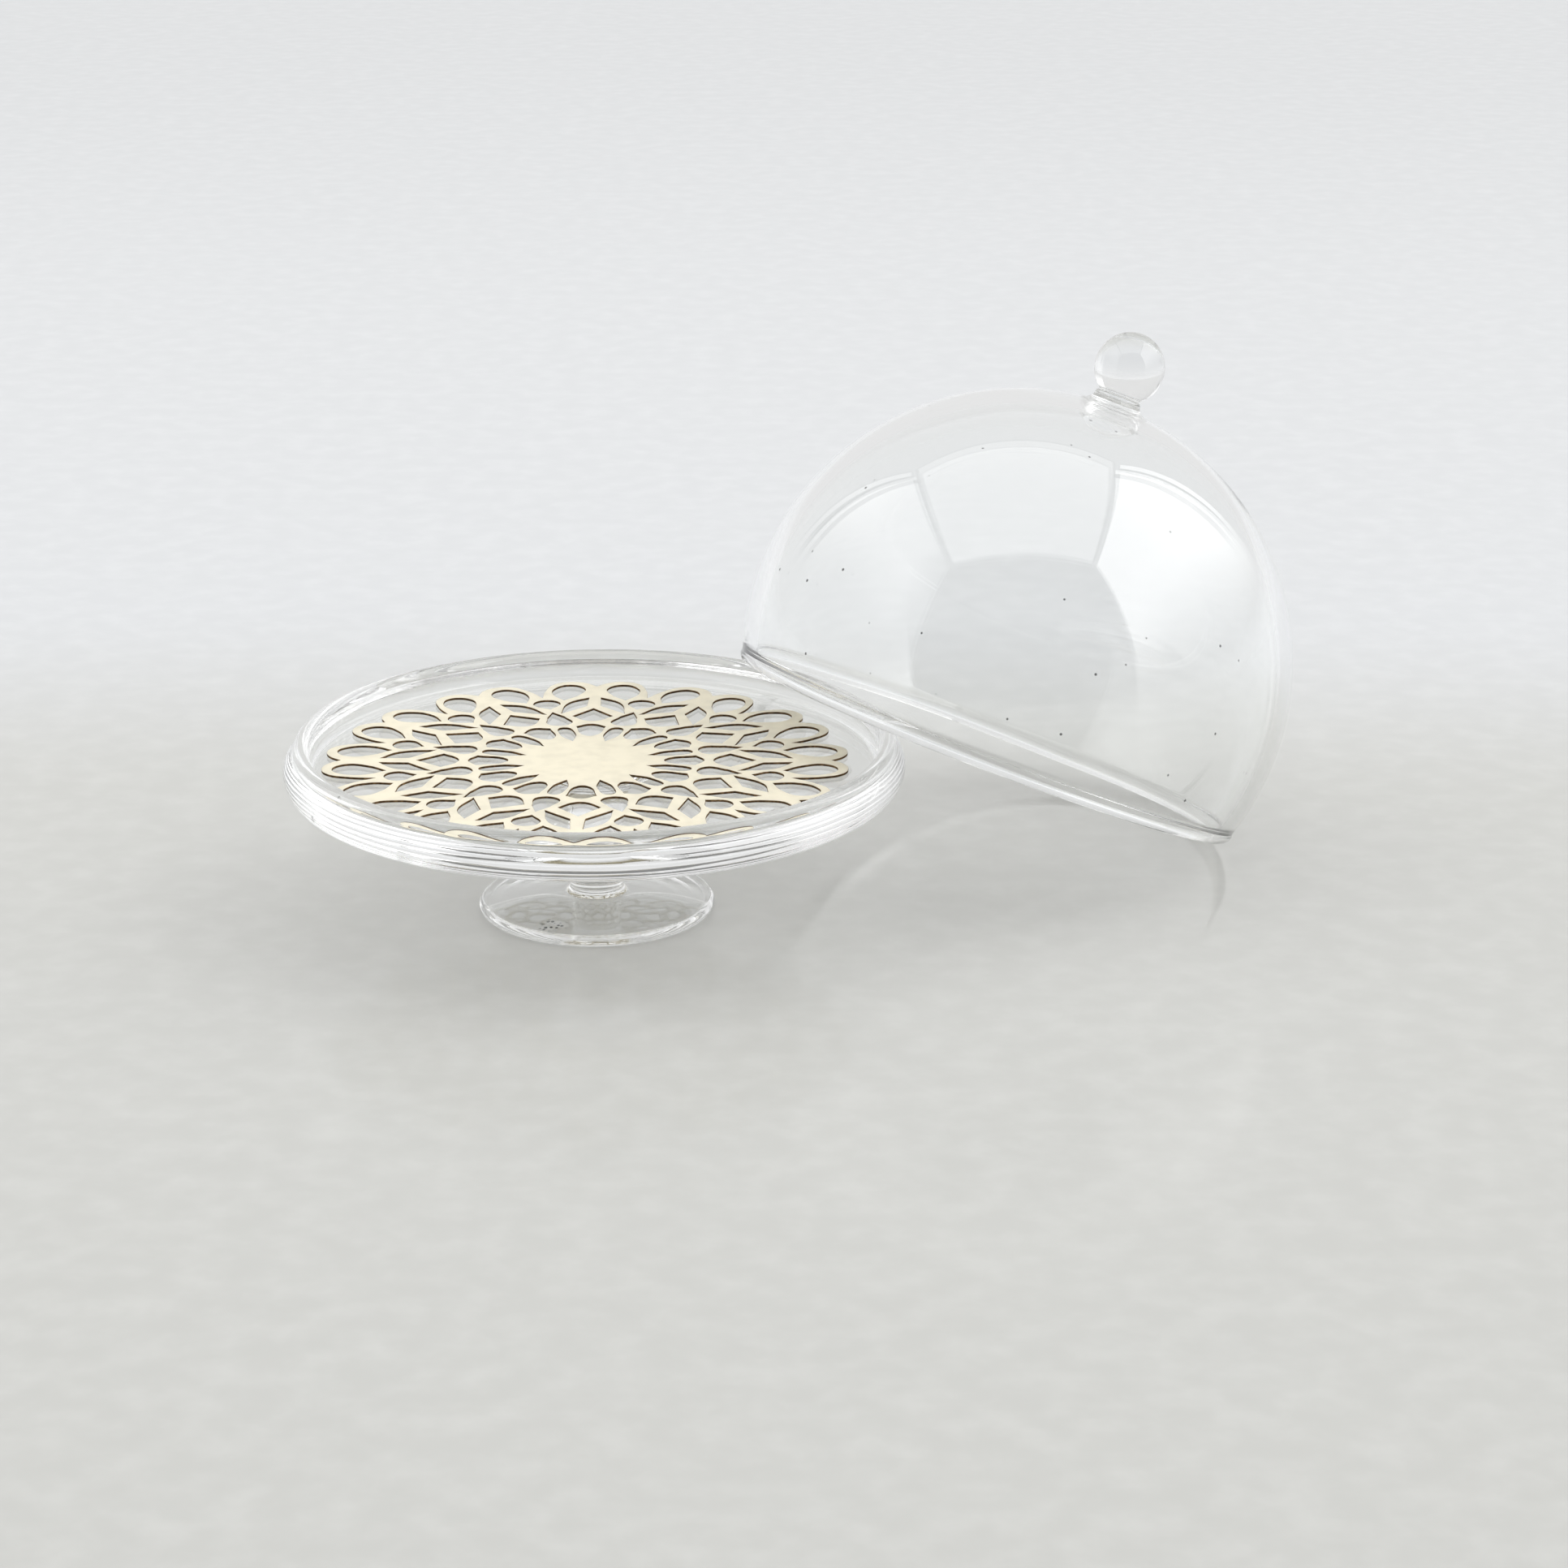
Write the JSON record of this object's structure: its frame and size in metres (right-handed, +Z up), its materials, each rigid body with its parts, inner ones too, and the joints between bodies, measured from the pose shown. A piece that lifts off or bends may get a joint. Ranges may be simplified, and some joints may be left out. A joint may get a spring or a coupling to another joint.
{
  "type": "cake stand with dome",
  "caption": "Miniature clear-glass pedestal cake stand with a lace-cut paper doily; its knobbed glass dome stands beside it, leaning on the plate's rim.",
  "frame": {"origin": "centre of the underside of the foot", "axes": "+Z up along the stem's axis; +X towards the side where the dome stands; +Y away from the front"},
  "size_m": [0.0661, 0.0507, 0.0344],
  "materials": {
    "stand_glass": "clear, fire-polished, lamp-worked",
    "dome_glass": "clear, thin blown wall with fire-polished rim",
    "knob_glass": "clear, solid, slightly uneven",
    "doily_paper": "cream card, laser cut, with brown scorched edges"
  },
  "bodies": {
    "stand": {"foot": "stand_glass", "stem": "stand_glass", "plate": "stand_glass"},
    "doily": {"doily": "doily_paper"},
    "dome": {"dome_shell": "dome_glass", "knob_collar": "dome_glass", "knob_ball": "knob_glass"}
  },
  "joints": [
    {"name": "dome_lift", "type": "slide", "parent": "stand", "child": "dome", "axis": [0, 0, 1], "range_m": [0, 0.03]},
    {"name": "doily_turn", "type": "hinge", "parent": "stand", "child": "doily", "pos_m": [-0.00055, -0.0003, 0.01], "axis": [0, 0, 1], "continuous": true}
  ]
}
